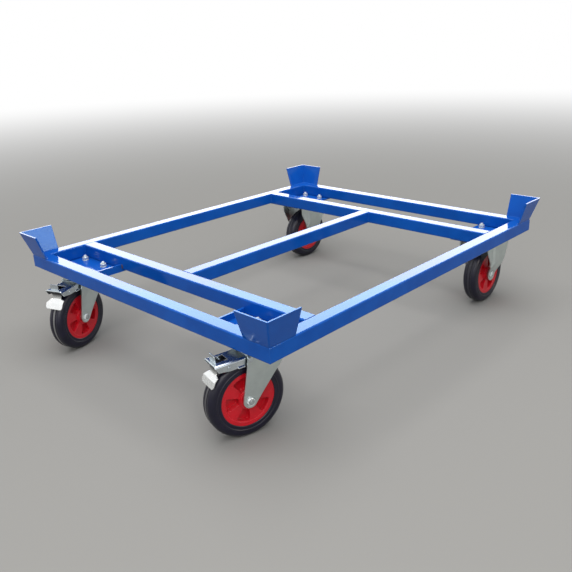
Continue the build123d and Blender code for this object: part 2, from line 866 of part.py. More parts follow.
# Brake levers, bent strip hung on the pin, ending in the pedal lip in front of the tyre
def make_brake_lever(name, floor):
    side = side_plane(floor)
    half_sheet = lever_sheet / 2
    eye_radius = lever_eye_diameter / 2
    strap = brake_pin_height + eye_radius - half_sheet
    wall_x = swivel_offset + lever_wall_out
    wall_foot = strap - lever_wall_depth
    lip_crease = housing_top - lip_crease_drop
    lip_foot = housing_top - lip_end_drop
    with BuildPart() as lever:
        with BuildSketch(side):
            with BuildLine():
                FilletPolyline(
                    (brake_pin_x, strap),
                    (wall_x, strap),
                    (wall_x, wall_foot),
                    (swivel_offset + lip_crease_out, lip_crease),
                    (swivel_offset + lip_end_out, lip_foot),
                    radius=lever_bend,
                )
                offset(amount=half_sheet)
            make_face()
            with Locations((brake_pin_x, brake_pin_height)):
                Circle(eye_radius)
                Circle(brake_pin_diameter / 2 + pin_clearance, mode=Mode.SUBTRACT)
        extrude(amount=lip_right, both=True)
        with BuildSketch(cross_plane(floor)) as outline:
            Polygon(
                (lever_offset - lever_half_width, housing_top),
                (lever_offset - lever_half_width, strap - lever_sheet),
                (lever_offset - lip_neck_half_width, wall_foot),
                (-lip_left_top, wall_foot - lever_sheet),
                (-lip_left, lip_crease),
                (-lip_left, lip_foot - half_sheet),
                (lip_right, lip_foot - half_sheet),
                (lip_right, wall_foot - lever_sheet),
                (lever_offset + lip_neck_half_width, wall_foot),
                (lever_offset + lever_half_width, strap - lever_sheet),
                (lever_offset + lever_half_width, housing_top),
            )
            fillet(outline.vertices().group_by(Axis.Y)[0], radius=lip_corner)
        extrude(amount=swivel_offset + wheel_diameter, mode=Mode.INTERSECT)
    finish(lever, name)


headings = (left_heading, right_heading)
turns = (swivel_left_turn, swivel_right_turn)
for (side_name, side), spot, heading, turn in zip(sides, swivel_spots, headings, turns):
    floor = floor_plane(spot, heading)
    make_balls(f"swivel_balls_{side_name}", spot)
    make_swivel_fork(f"swivel_fork_{side_name}", floor)
    make_brake_housing(f"brake_housing_{side_name}", floor)
    make_brake_pins(f"brake_pins_{side_name}", floor)
    make_brake_lever(f"brake_lever_{side_name}", floor)
    make_wheel(f"swivel_wheel_{side_name}", floor, swivel_offset, turn)
    axle = f"swivel_axle_{side_name}"
    make_axles(f"{axle}_bolt", f"{axle}_nut", f"{axle}_tube", [axle_plane(floor, swivel_offset)])
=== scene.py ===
import json
import math

import bmesh
import bpy
from mathutils import Matrix, Vector

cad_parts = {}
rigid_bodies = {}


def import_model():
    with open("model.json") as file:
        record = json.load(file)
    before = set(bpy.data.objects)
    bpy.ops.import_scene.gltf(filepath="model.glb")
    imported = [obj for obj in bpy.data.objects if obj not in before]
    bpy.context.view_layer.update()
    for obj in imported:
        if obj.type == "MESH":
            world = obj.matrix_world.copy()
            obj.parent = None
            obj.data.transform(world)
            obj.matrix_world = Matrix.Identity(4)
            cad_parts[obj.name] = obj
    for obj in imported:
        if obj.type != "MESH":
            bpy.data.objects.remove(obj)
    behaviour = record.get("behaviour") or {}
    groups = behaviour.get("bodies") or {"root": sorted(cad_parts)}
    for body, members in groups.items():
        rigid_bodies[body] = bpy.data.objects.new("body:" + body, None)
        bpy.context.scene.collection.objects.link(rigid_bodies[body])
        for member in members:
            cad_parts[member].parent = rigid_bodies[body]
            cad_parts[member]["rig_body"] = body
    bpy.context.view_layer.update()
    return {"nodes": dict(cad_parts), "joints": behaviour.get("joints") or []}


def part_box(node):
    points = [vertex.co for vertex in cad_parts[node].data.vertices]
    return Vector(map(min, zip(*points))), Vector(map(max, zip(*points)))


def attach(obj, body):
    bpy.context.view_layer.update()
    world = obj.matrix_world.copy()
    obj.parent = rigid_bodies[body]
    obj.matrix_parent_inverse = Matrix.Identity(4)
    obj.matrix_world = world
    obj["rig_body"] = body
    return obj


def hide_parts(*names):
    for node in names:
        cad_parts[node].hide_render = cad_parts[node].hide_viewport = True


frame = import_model()


# Rails of the frame: cold-formed square steel tube, sawn to length, mitred at the four corners
# and welded, with the seams on top ground flush. The whole frame is powder coated after welding,
# in a glossy deep blue that mirrors the sky along the flat tops.
mm = 0.001
merge_gap = 0.001 * mm
tiny_edge = 0.1 * mm
flat_angle = math.radians(0.3)
sharp_angle = math.radians(28)


def merged_copy(node):
    shape = bmesh.new()
    shape.from_mesh(frame["nodes"][node].data)
    bmesh.ops.remove_doubles(shape, verts=shape.verts, dist=merge_gap)
    bmesh.ops.dissolve_degenerate(shape, dist=tiny_edge, edges=shape.edges)
    bmesh.ops.dissolve_limit(shape, angle_limit=flat_angle, verts=shape.verts, edges=shape.edges)
    return shape


def round_edges(shape, width, segments=2, clamp=True, least=0.0):
    sharp = []
    for edge in shape.edges:
        if edge.calc_face_angle(0) > sharp_angle and edge.calc_length() > least:
            sharp.append(edge)
    bmesh.ops.bevel(
        shape, geom=sharp, offset=width, offset_type="OFFSET", affect="EDGES",
        segments=segments, profile=0.5, clamp_overlap=clamp, material=-1,
    )


def put(shape, name, body, slot, material, *nodes):
    mesh = bpy.data.meshes.new(name)
    shape.to_mesh(mesh)
    shape.free()
    mesh.shade_smooth()
    mesh.set_sharp_from_angle(angle=sharp_angle)
    mesh.materials.append(material)
    piece = bpy.data.objects.new(name, mesh)
    bpy.context.scene.collection.objects.link(piece)
    flat_faces = piece.modifiers.new("flat_faces", "WEIGHTED_NORMAL")
    flat_faces.keep_sharp = True
    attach(piece, body)
    if nodes:
        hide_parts(*nodes)


def dress(node, finish_word, slot, material, edge=0.0, segments=2, clamp=True, least=0.0):
    shape = merged_copy(node)
    if edge:
        round_edges(shape, edge, segments, clamp, least)
    body = frame["nodes"][node]["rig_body"]
    put(shape, f"{node}_{finish_word}", body, slot, material, node)


def add_node(tree, kind, settings=None, **values):
    node = tree.nodes.new(kind)
    for name, value in (settings or {}).items():
        setattr(node, name, value)
    for name, value in values.items():
        node.inputs[name].default_value = value
    return node


def add_ramp(tree, low, high, smooth=False):
    ramp = add_node(tree, "ShaderNodeMapRange")
    if smooth:
        ramp.interpolation_type = "SMOOTHSTEP"
    ramp.inputs["From Min"].default_value = low
    ramp.inputs["From Max"].default_value = high
    return ramp


def new_group(name, inputs, outputs):
    group = bpy.data.node_groups.new(name, "ShaderNodeTree")
    for socket, value in inputs.items():
        made = group.interface.new_socket(socket, in_out="INPUT", socket_type="NodeSocketFloat")
        made.default_value = value
    for socket in outputs:
        group.interface.new_socket(socket, in_out="OUTPUT", socket_type="NodeSocketFloat")
    return group, group.nodes.new("NodeGroupInput"), group.nodes.new("NodeGroupOutput")


def place_group(tree, group, **values):
    return add_node(tree, "ShaderNodeGroup", {"node_tree": group}, **values)


# Cloudy patches between the dull and the light shade of paint, plating, plastic and rubber
clouds, ends_in, ends_out = new_group("clouds", {"Scale": 10.0, "Detail": 3.0}, ["Patch"])
spot = add_node(clouds, "ShaderNodeTexCoord")
noise = add_node(clouds, "ShaderNodeTexNoise", Roughness=0.55)
spread = add_ramp(clouds, low=0.3, high=0.7, smooth=True)
clouds.links.new(spot.outputs["Object"], noise.inputs["Vector"])
clouds.links.new(ends_in.outputs["Scale"], noise.inputs["Scale"])
clouds.links.new(ends_in.outputs["Detail"], noise.inputs["Detail"])
clouds.links.new(noise.outputs["Fac"], spread.inputs["Value"])
clouds.links.new(spread.outputs["Result"], ends_out.inputs["Patch"])

# Edges that hands, pallets and handling have rubbed
rubbed, ends_in, ends_out = new_group("rubbed_edges", {"Radius": 0.002, "Scale": 90.0}, ["Edge"])
spot = add_node(rubbed, "ShaderNodeTexCoord")
surface = add_node(rubbed, "ShaderNodeNewGeometry")
rounded = add_node(rubbed, "ShaderNodeBevel", {"samples": 4})
turn = add_node(rubbed, "ShaderNodeVectorMath", {"operation": "DOT_PRODUCT"})
edge = add_ramp(rubbed, low=0.995, high=0.90)
breaks = add_node(rubbed, "ShaderNodeTexNoise", Detail=4.0)
patchy = add_node(rubbed, "ShaderNodeMath", {"operation": "MULTIPLY", "use_clamp": True})
rubbed.links.new(ends_in.outputs["Radius"], rounded.inputs["Radius"])
rubbed.links.new(surface.outputs["Normal"], turn.inputs[0])
rubbed.links.new(rounded.outputs["Normal"], turn.inputs[1])
rubbed.links.new(turn.outputs["Value"], edge.inputs["Value"])
rubbed.links.new(spot.outputs["Object"], breaks.inputs["Vector"])
rubbed.links.new(ends_in.outputs["Scale"], breaks.inputs["Scale"])
rubbed.links.new(edge.outputs["Result"], patchy.inputs[0])
rubbed.links.new(breaks.outputs["Fac"], patchy.inputs[1])
rubbed.links.new(patchy.outputs["Value"], ends_out.inputs["Edge"])

# Dust that has settled on what faces up
settled, ends_in, ends_out = new_group("settled_dust", {"Amount": 0.3, "Scale": 60.0}, ["Dust"])
spot = add_node(settled, "ShaderNodeTexCoord")
axes = add_node(settled, "ShaderNodeSeparateXYZ")
upward = add_ramp(settled, low=0.2, high=1.0, smooth=True)
specks = add_node(settled, "ShaderNodeTexNoise", Detail=6.0, Roughness=0.7)
grains = add_ramp(settled, low=0.45, high=0.75)
where = add_node(settled, "ShaderNodeMath", {"operation": "MULTIPLY"})
share = add_node(settled, "ShaderNodeMath", {"operation": "MULTIPLY", "use_clamp": True})
settled.links.new(spot.outputs["Normal"], axes.inputs["Vector"])
settled.links.new(axes.outputs["Z"], upward.inputs["Value"])
settled.links.new(spot.outputs["Object"], specks.inputs["Vector"])
settled.links.new(ends_in.outputs["Scale"], specks.inputs["Scale"])
settled.links.new(specks.outputs["Fac"], grains.inputs["Value"])
settled.links.new(upward.outputs["Result"], where.inputs[0])
settled.links.new(grains.outputs["Result"], where.inputs[1])
settled.links.new(where.outputs["Value"], share.inputs[0])
settled.links.new(ends_in.outputs["Amount"], share.inputs[1])
settled.links.new(share.outputs["Value"], ends_out.inputs["Dust"])


def new_material(name):
    material = bpy.data.materials.new(name)
    material.use_nodes = True
    tree = material.node_tree
    return material, tree, tree.nodes["Principled BSDF"]


def blend_colours(tree, mask, under, over):
    mix = tree.nodes.new("ShaderNodeMix")
    mix.data_type = "RGBA"
    tree.links.new(mask, mix.inputs["Factor"])
    for socket, colour in ((mix.inputs["A"], under), (mix.inputs["B"], over)):
        if isinstance(colour, tuple):
            socket.default_value = (*colour, 1)
        else:
            tree.links.new(colour, socket)
    return mix.outputs["Result"]


def vary_roughness(tree, shader, mask, dull, light):
    shift = add_node(tree, "ShaderNodeMapRange")
    shift.inputs["To Min"].default_value = dull
    shift.inputs["To Max"].default_value = light
    tree.links.new(mask, shift.inputs["Value"])
    tree.links.new(shift.outputs["Result"], shader.inputs["Roughness"])


def add_bump(tree, shader, mask, strength, height):
    bump = add_node(tree, "ShaderNodeBump", Strength=strength, Distance=height)
    tree.links.new(mask, bump.inputs["Height"])
    tree.links.new(bump.outputs["Normal"], shader.inputs["Normal"])


blue_deep = (0.0030, 0.070, 0.360)
blue_full = (0.0040, 0.086, 0.415)
blue_rubbed = (0.012, 0.118, 0.470)
blue_gloss = (0.40, 0.72, 1.0)
dust_grey = (0.36, 0.35, 0.33)

powder_coat, tree, shader = new_material("blue_powder_coat")
shade = place_group(tree, clouds, Scale=14.0, Detail=3.0)
edges = place_group(tree, rubbed, Radius=1.6 * mm, Scale=120.0)
dust = place_group(tree, settled, Amount=0.03, Scale=140.0)
flow = place_group(tree, clouds, Scale=620.0, Detail=1.0)
colour = blend_colours(tree, shade.outputs["Patch"], blue_deep, blue_full)
colour = blend_colours(tree, edges.outputs["Edge"], colour, blue_rubbed)
colour = blend_colours(tree, dust.outputs["Dust"], colour, dust_grey)
tree.links.new(colour, shader.inputs["Base Color"])
vary_roughness(tree, shader, shade.outputs["Patch"], dull=0.05, light=0.10)
shader.inputs["IOR"].default_value = 1.34
shader.inputs["Specular Tint"].default_value = (*blue_gloss, 1)
add_bump(tree, shader, flow.outputs["Patch"], strength=0.03, height=0.05 * mm)

rails = [
    "front_end_rail", "back_end_rail", "left_side_rail", "right_side_rail",
    "front_cross_rail", "back_cross_rail", "centre_rail",
]
for rail in rails:
    dress(rail, "painted", "blue_paint", powder_coat)


# Corner guides: two leaning plates of flat bar at each corner, flame cut, set flush with the
# rails' outer faces, welded along the foot and up the corner, and the corner ground flat. They
# steer the pallet into place from above.
guide_edge = 0.9 * mm
ground_back = 1.7 * mm
mitre_slack = 0.01
ends = {"front": 1, "back": -1}
sides = {"left": -1, "right": 1}
places = [f"{end}_{side}" for end in ends for side in sides]
guide_low, guide_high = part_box("guide_front_right_end")
guide_height = guide_high.z - guide_low.z
frame_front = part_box("front_end_rail")[1].x
frame_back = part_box("back_end_rail")[0].x
frame_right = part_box("right_side_rail")[1].y
guide_flare = guide_high.x - frame_front


def join_plates(end, side):
    shape = bmesh.new()
    for plate in ("end", "side"):
        shape.from_mesh(frame["nodes"][f"guide_{end}_{side}_{plate}"].data)
    bmesh.ops.remove_doubles(shape, verts=shape.verts, dist=merge_gap)
    shape.normal_update()
    mitre = []
    for face in shape.faces:
        x, y, z = (abs(part) for part in face.normal)
        if z < mitre_slack and abs(x - y) < mitre_slack:
            mitre.append(face)
    bmesh.ops.delete(shape, geom=mitre, context="FACES")
    bmesh.ops.dissolve_limit(shape, angle_limit=flat_angle, verts=shape.verts, edges=shape.edges)
    return shape


def grind_corner(shape, corner, lean):
    everything = shape.verts[:] + shape.edges[:] + shape.faces[:]
    cut = bmesh.ops.bisect_plane(
        shape, geom=everything, dist=merge_gap,
        plane_co=corner - lean * ground_back, plane_no=lean, clear_outer=True,
    )
    rim = [piece for piece in cut["geom_cut"] if isinstance(piece, bmesh.types.BMEdge)]
    bmesh.ops.holes_fill(shape, edges=rim)
    bmesh.ops.recalc_face_normals(shape, faces=shape.faces)


for end, out in ends.items():
    for side, hand in sides.items():
        guide = join_plates(end, side)
        corner = Vector((frame_front if out > 0 else frame_back, hand * frame_right, guide_low.z))
        lean = Vector((out * guide_height, hand * guide_height, -2 * guide_flare)).normalized()
        grind_corner(guide, corner, lean)
        round_edges(guide, guide_edge, segments=3)
        name = f"guide_{end}_{side}"
        put(guide, f"{name}_painted", "frame", "blue_paint", powder_coat, f"{name}_end", f"{name}_side")


# Castor plates: flat plate under the frame's corners, laid across an end rail and a cross rail.
# The front pair have their inner edge folded up between the rails, and all have four bolt holes.
castor_plate_edge = 0.7 * mm
for place in places:
    dress(f"castor_plate_{place}", "painted", "blue_paint", powder_coat, castor_plate_edge)


# Weld runs: steel beads laid in the corners where tubes and plates meet, painted over with the
# rest. Each run ripples every few millimetres and tapers off at both ends.
bead_sides = 10
ripple_pitch = 2.6 * mm
rings_per_ripple = 4
fewest_rings = 4
ripple_depth = 0.09
thin_end = 0.45


def add_bead(shape, start, end, radius):
    run = Vector(end) - Vector(start)
    steps = max(fewest_rings, round(run.length / ripple_pitch * rings_per_ripple))
    aim = run.to_track_quat("Z", "Y").to_matrix().to_4x4()
    bead = bmesh.new()
    bmesh.ops.create_circle(bead, cap_ends=True, segments=bead_sides, radius=1.0)
    step = Vector((0, 0, run.length / steps))
    cap = bead.verts[:] + bead.edges[:] + bead.faces[:]
    bmesh.ops.spin(bead, geom=cap, axis=(0, 0, 1), angle=0, steps=steps, dvec=step)
    for vert in bead.verts:
        from_end = min(vert.co.z, run.length - vert.co.z)
        taper = thin_end + (1 - thin_end) * min(1.0, from_end / radius)
        ripple = 1 + ripple_depth * math.sin(2 * math.pi * vert.co.z / ripple_pitch)
        vert.co.xy *= radius * taper * ripple
    bmesh.ops.recalc_face_normals(bead, faces=bead.faces)
    bmesh.ops.transform(bead, matrix=Matrix.Translation(start) @ aim, verts=bead.verts)
    laid = bpy.data.meshes.new("bead")
    bead.to_mesh(laid)
    bead.free()
    shape.from_mesh(laid)
    bpy.data.meshes.remove(laid)


# Upright runs in the inner corners of the tubes
tube_bead = 2.2 * mm
weld_inset = 3 * mm
rail_low, rail_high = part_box("front_cross_rail")
tube_width = rail_high.z - rail_low.z
weld_foot = rail_low.z + weld_inset
weld_top = rail_high.z - weld_inset
side_inside = rail_high.y
rail_welds = bmesh.new()
inner_corners = []
for cross in ("front_cross_rail", "back_cross_rail"):
    low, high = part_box(cross)
    for x in (low.x, high.x):
        inner_corners += [(x, -side_inside), (x, side_inside)]
low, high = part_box("centre_rail")
inner_corners += [(x, y) for x in (low.x, high.x) for y in (low.y, high.y)]
front_inside = frame_front - tube_width
back_inside = frame_back + tube_width
inner_corners += [(x, y) for x in (front_inside, back_inside) for y in (-side_inside, side_inside)]
for x, y in inner_corners:
    add_bead(rail_welds, (x, y, weld_foot), (x, y, weld_top), tube_bead)
put(rail_welds, "rail_welds", "frame", "blue_paint", powder_coat)

# Runs along the inner foot of the corner guides
guide_bead = 2.0 * mm
guide_foot = 5.23 * mm
guide_welds = bmesh.new()
for end, out in ends.items():
    for side, hand in sides.items():
        low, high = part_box(f"guide_{end}_{side}_end")
        outer_x = (high.x if out > 0 else low.x) - out * guide_flare
        tip_y = low.y if hand > 0 else high.y
        low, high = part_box(f"guide_{end}_{side}_side")
        outer_y = (high.y if hand > 0 else low.y) - hand * guide_flare
        tip_x = low.x if out > 0 else high.x
        inner_x = outer_x - out * guide_foot
        inner_y = outer_y - hand * guide_foot
        add_bead(guide_welds, (inner_x, inner_y, low.z), (inner_x, tip_y, low.z), guide_bead)
        add_bead(guide_welds, (inner_x, inner_y, low.z), (tip_x, inner_y, low.z), guide_bead)
put(guide_welds, "guide_welds", "frame", "blue_paint", powder_coat)

# Stitch runs between the castor plates and the rails above them
stitch = 38 * mm
stitch_bead = 2.0 * mm
end_shares = (0.2, 0.5, 0.8)
side_shares = (0.3, 0.7)
plate_welds = bmesh.new()
for place in places:
    low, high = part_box(f"castor_plate_{place}")
    for x in (low.x, high.x):
        for share in end_shares:
            middle = low.y + share * (high.y - low.y)
            tips = [(x, middle + way * stitch / 2, rail_low.z) for way in (-1, 1)]
            add_bead(plate_welds, *tips, stitch_bead)
    outer = high.y if high.y > 0 else low.y
    for share in side_shares:
        middle = low.x + share * (high.x - low.x)
        tips = [(middle + way * stitch / 2, outer, rail_low.z) for way in (-1, 1)]
        add_bead(plate_welds, *tips, stitch_bead)
put(plate_welds, "plate_welds", "frame", "blue_paint", powder_coat)

# Runs at the end of the folded-up edges, laid after painting and left bare, brown from the heat
burnt_dark = (0.030, 0.024, 0.022)
burnt_rust = (0.110, 0.058, 0.036)
upstand_bead = 3.0 * mm

burnt_weld, tree, shader = new_material("burnt_bare_weld")
shade = place_group(tree, clouds, Scale=240.0, Detail=4.0)
grain = place_group(tree, clouds, Scale=900.0, Detail=2.0)
colour = blend_colours(tree, shade.outputs["Patch"], burnt_dark, burnt_rust)
tree.links.new(colour, shader.inputs["Base Color"])
shader.inputs["Metallic"].default_value = 0.3
vary_roughness(tree, shader, shade.outputs["Patch"], dull=0.50, light=0.75)
add_bump(tree, shader, grain.outputs["Patch"], strength=0.3, height=0.1 * mm)

upstand_welds = bmesh.new()
for side, hand in sides.items():
    low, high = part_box(f"castor_plate_front_{side}")
    inner_y = high.y if hand < 0 else low.y
    start = (rail_high.x, inner_y, rail_low.z + upstand_bead)
    add_bead(upstand_welds, start, (rail_high.x, inner_y, high.z), upstand_bead)
put(upstand_welds, "upstand_welds", "frame", "bearing_steel", burnt_weld)


# Plate bolts, washers and nuts: stock zinc plated hexagon fasteners. The heads sit under the
# castors' own plates, and the nuts are run down onto washers on top with the thread standing out.
zinc_light = (0.68, 0.72, 0.71)
zinc_dull = (0.58, 0.62, 0.61)
turned_sides = 32
hexagon_sides = 36
hexagon_sixth = math.radians(60)
chamfer_slope = math.tan(math.radians(30))
turned_share = 0.94
thread_depth = 0.55
thread_crest = 0.3
thread_root = 0.8


def add_turned(shape, outline, steps=turned_sides):
    corners = [shape.verts.new((radius, 0, height)) for radius, height in outline]
    edges = [shape.edges.new(pair) for pair in zip(corners, corners[1:])]
    if outline[0][0] > 0:
        edges.append(shape.edges.new((corners[-1], corners[0])))
    bmesh.ops.spin(
        shape, geom=corners + edges, axis=(0, 0, 1), angle=2 * math.pi, steps=steps, use_merge=True
    )
    bmesh.ops.remove_doubles(shape, verts=shape.verts, dist=merge_gap)
    bmesh.ops.recalc_face_normals(shape, faces=shape.faces)


def add_hexagon(shape, across, low, high, bore):
    turned = turned_share * across / 2
    middle = (low + high) / 2
    # A ring with no radius follows the six flats
    outline = ((bore, low), (turned, low), (0, low), (0, high), (turned, high), (bore, high))
    rings = []
    for radius, height in outline:
        ring = bmesh.ops.create_circle(shape, segments=hexagon_sides, radius=radius or 1.0)["verts"]
        for vert in ring:
            if not radius:
                angle = math.atan2(vert.co.y, vert.co.x) % hexagon_sixth - hexagon_sixth / 2
                reach = across / 2 / math.cos(angle)
                vert.co.xy *= reach
                vert.co.z = height + math.copysign((reach - turned) * chamfer_slope, middle - height)
            else:
                vert.co.z = height
        rings.append({edge for vert in ring for edge in vert.link_edges})
    for near, following in zip(rings, rings[1:] + rings[:1]):
        bmesh.ops.bridge_loops(shape, edges=list(near | following))
    bmesh.ops.recalc_face_normals(shape, faces=shape.faces)


def threaded(radius, low, high, pitch):
    depth = thread_depth * pitch
    turns = int((high - low) / pitch)
    outline = []
    for turn in range(turns):
        outline.append((radius, low + (turn + thread_crest) * pitch))
        outline.append((radius - depth, low + (turn + thread_root) * pitch))
    return outline


def solids_of(node):
    shape = merged_copy(node)
    left = set(shape.verts)
    boxes = []
    while left:
        found = [left.pop()]
        for vert in found:
            near = {edge.other_vert(vert) for edge in vert.link_edges} & left
            left -= near
            found += near
        corners = [vert.co for vert in found]
        low = Vector(min(corner[axis] for corner in corners) for axis in range(3))
        high = Vector(max(corner[axis] for corner in corners) for axis in range(3))
        boxes.append((low, high))
    shape.free()
    return sorted(boxes, key=lambda box: tuple(box[0]))


def repeat_at(shape, spots):
    single = bpy.data.meshes.new("single")
    shape.to_mesh(single)
    shape.clear()
    for spot in spots:
        single.transform(spot)
        shape.from_mesh(single)
        single.transform(spot.inverted())
    bpy.data.meshes.remove(single)


bright_fastener, tree, shader = new_material("zinc_plated_fastener")
shade = place_group(tree, clouds, Scale=90.0, Detail=4.0)
edges = place_group(tree, rubbed, Radius=0.8 * mm, Scale=400.0)
marks = place_group(tree, clouds, Scale=900.0, Detail=2.0)
colour = blend_colours(tree, shade.outputs["Patch"], zinc_dull, zinc_light)
colour = blend_colours(tree, edges.outputs["Edge"], colour, zinc_light)
tree.links.new(colour, shader.inputs["Base Color"])
shader.inputs["Metallic"].default_value = 0.6
vary_roughness(tree, shader, shade.outputs["Patch"], dull=0.42, light=0.34)
add_bump(tree, shader, marks.outputs["Patch"], strength=0.05, height=0.02 * mm)

nut_boxes = solids_of("plate_nuts")
bolt_boxes = solids_of("plate_bolts")
washer_boxes = solids_of("plate_washers")
nut_low, nut_high = nut_boxes[0]
bolt_low, bolt_high = bolt_boxes[0]
washer_low, washer_high = washer_boxes[0]
nut_middles = [(low + high) / 2 for low, high in nut_boxes]
nut_spots = [Matrix.Translation((middle.x, middle.y, 0)) for middle in nut_middles]
nut_across = nut_high.y - nut_low.y
bolt_radius = 5.0 * mm
bolt_sides = 20
thread_pitch = 1.5 * mm
thread_play = 0.05 * mm
head_height = 6.4 * mm
head_core = 0.5 * mm
bolt_chamfer = 1.0 * mm

nuts = bmesh.new()
add_hexagon(nuts, nut_across, nut_low.z, nut_high.z, bolt_radius + thread_play)
repeat_at(nuts, nut_spots)
put(nuts, "plate_nuts_plated", "frame", "zinc_fastener", bright_fastener, "plate_nuts")

bolts = bmesh.new()
head_top = bolt_low.z + head_height
shank = [(0, head_top), (bolt_radius, head_top), (bolt_radius, washer_low.z)]
shank += threaded(bolt_radius, washer_low.z, bolt_high.z - bolt_chamfer, thread_pitch)
shank += [(bolt_radius - bolt_chamfer, bolt_high.z), (0, bolt_high.z)]
add_turned(bolts, shank, bolt_sides)
add_hexagon(bolts, nut_across, bolt_low.z, head_top, head_core)
repeat_at(bolts, nut_spots)
put(bolts, "plate_bolts_plated", "frame", "zinc_fastener", bright_fastener, "plate_bolts")

washers = bmesh.new()
washer_radius = (washer_high.x - washer_low.x) / 2
washer_bore = 5.5 * mm
washer_round = 0.4 * mm
add_turned(washers, [
    (washer_bore, washer_low.z),
    (washer_radius, washer_low.z),
    (washer_radius, washer_high.z - washer_round),
    (washer_radius - washer_round, washer_high.z),
    (washer_bore + washer_round, washer_high.z),
    (washer_bore, washer_high.z - washer_round),
])
repeat_at(washers, nut_spots)
put(washers, "plate_washers_plated", "frame", "zinc_fastener", bright_fastener, "plate_washers")


# Forks and swivel plates: pressed sheet steel, zinc plated to a dull grey with a cool cast.
# The fixed forks are one pressing with a raised panel down each leg, bolted under the frame, and
# the swivel forks turn on balls under top plates that are bolted there.
sheet_light = (0.63, 0.695, 0.685)
sheet_dark = (0.54, 0.60, 0.595)
sheet_bright = (0.86, 0.88, 0.88)
fork_edge = 0.8 * mm
shortest_run = 1.0 * mm

zinc_sheet, tree, shader = new_material("zinc_plated_sheet")
shade = place_group(tree, clouds, Scale=22.0, Detail=5.0)
edges = place_group(tree, rubbed, Radius=1.2 * mm, Scale=200.0)
dust = place_group(tree, settled, Amount=0.25, Scale=110.0)
grain = place_group(tree, clouds, Scale=1400.0, Detail=2.0)
colour = blend_colours(tree, shade.outputs["Patch"], sheet_dark, sheet_light)
colour = blend_colours(tree, edges.outputs["Edge"], colour, sheet_bright)
colour = blend_colours(tree, dust.outputs["Dust"], colour, dust_grey)
tree.links.new(colour, shader.inputs["Base Color"])
shader.inputs["Metallic"].default_value = 1.0
vary_roughness(tree, shader, shade.outputs["Patch"], dull=0.44, light=0.34)
add_bump(tree, shader, grain.outputs["Patch"], strength=0.15, height=0.03 * mm)

pressings = ("fixed_fork", "swivel_plate", "swivel_fork")
for pressing in [f"{kind}_{side}" for side in sides for kind in pressings]:
    dress(pressing, "plated", "zinc_sheet", zinc_sheet, fork_edge, clamp=False, least=shortest_run)


# Swivel bearings: kingpin with its nut and lower ball cup, and two rows of loose steel balls
# between the top plate and the fork. They are greased and mostly hidden.
ball_light = (0.62, 0.62, 0.63)
ball_dark = (0.30, 0.29, 0.27)

bearing_steel, tree, shader = new_material("greased_bearing_steel")
shade = place_group(tree, clouds, Scale=160.0, Detail=3.0)
colour = blend_colours(tree, shade.outputs["Patch"], ball_dark, ball_light)
tree.links.new(colour, shader.inputs["Base Color"])
shader.inputs["Metallic"].default_value = 1.0
vary_roughness(tree, shader, shade.outputs["Patch"], dull=0.30, light=0.14)


def finish_node(node, material):
    frame["nodes"][node].data.materials[0] = material


for node in ("kingpins", "kingpin_nuts"):
    finish_node(node, bright_fastener)
for node in ("lower_ball_cups", "swivel_balls_left", "swivel_balls_right"):
    finish_node(node, bearing_steel)


# Brake housings and levers: bent sheet channels riveted into the forks that reach out over the
# tyres, each with a lever on a cross pin. The lever's pedal lip is plated bright, and its strap,
# inside the housing, is coloured near black as painted shade.
housing_edge = 0.8 * mm
front_bend = 3.4 * mm
bend_segments = 4
bend_facing = 0.8
front_reach = 4 * mm
neck_drop = 14 * mm
lever_edge = 0.8 * mm
pin_edge = 0.5 * mm
lip_light = (0.95, 0.96, 0.96)
lip_dull = (0.90, 0.92, 0.92)
# Painted shade: near black for the lever's strap inside the housing
strap_shade_painted = (0.035, 0.036, 0.040)
housing_light = (0.66, 0.72, 0.76)
housing_dull = (0.56, 0.62, 0.66)

satin_zinc, tree, shader = new_material("satin_zinc_housing")
shade = place_group(tree, clouds, Scale=45.0, Detail=4.0)
edges = place_group(tree, rubbed, Radius=1.2 * mm, Scale=260.0)
grain = place_group(tree, clouds, Scale=1400.0, Detail=2.0)
colour = blend_colours(tree, shade.outputs["Patch"], housing_dull, housing_light)
# The housing's edges are lightened to the pedal's near white: partly rubbed wear, partly a painted
# highlight along the bends
colour = blend_colours(tree, edges.outputs["Edge"], colour, lip_light)
tree.links.new(colour, shader.inputs["Base Color"])
shader.inputs["Metallic"].default_value = 1.0
vary_roughness(tree, shader, shade.outputs["Patch"], dull=0.27, light=0.21)
add_bump(tree, shader, grain.outputs["Patch"], strength=0.04, height=0.03 * mm)

bright_zinc, tree, shader = new_material("bright_zinc_pedal")
shade = place_group(tree, clouds, Scale=60.0, Detail=4.0)
edges = place_group(tree, rubbed, Radius=1.2 * mm, Scale=260.0)
colour = blend_colours(tree, shade.outputs["Patch"], lip_dull, lip_light)
colour = blend_colours(tree, edges.outputs["Edge"], colour, lip_light)
strap_shade_mask = add_node(tree, "ShaderNodeAttribute", {"attribute_name": "painted_strap_shade"})
colour = blend_colours(tree, strap_shade_mask.outputs["Fac"], colour, strap_shade_painted)
tree.links.new(colour, shader.inputs["Base Color"])
shader.inputs["Metallic"].default_value = 0.8
vary_roughness(tree, shader, shade.outputs["Patch"], dull=0.30, light=0.25)

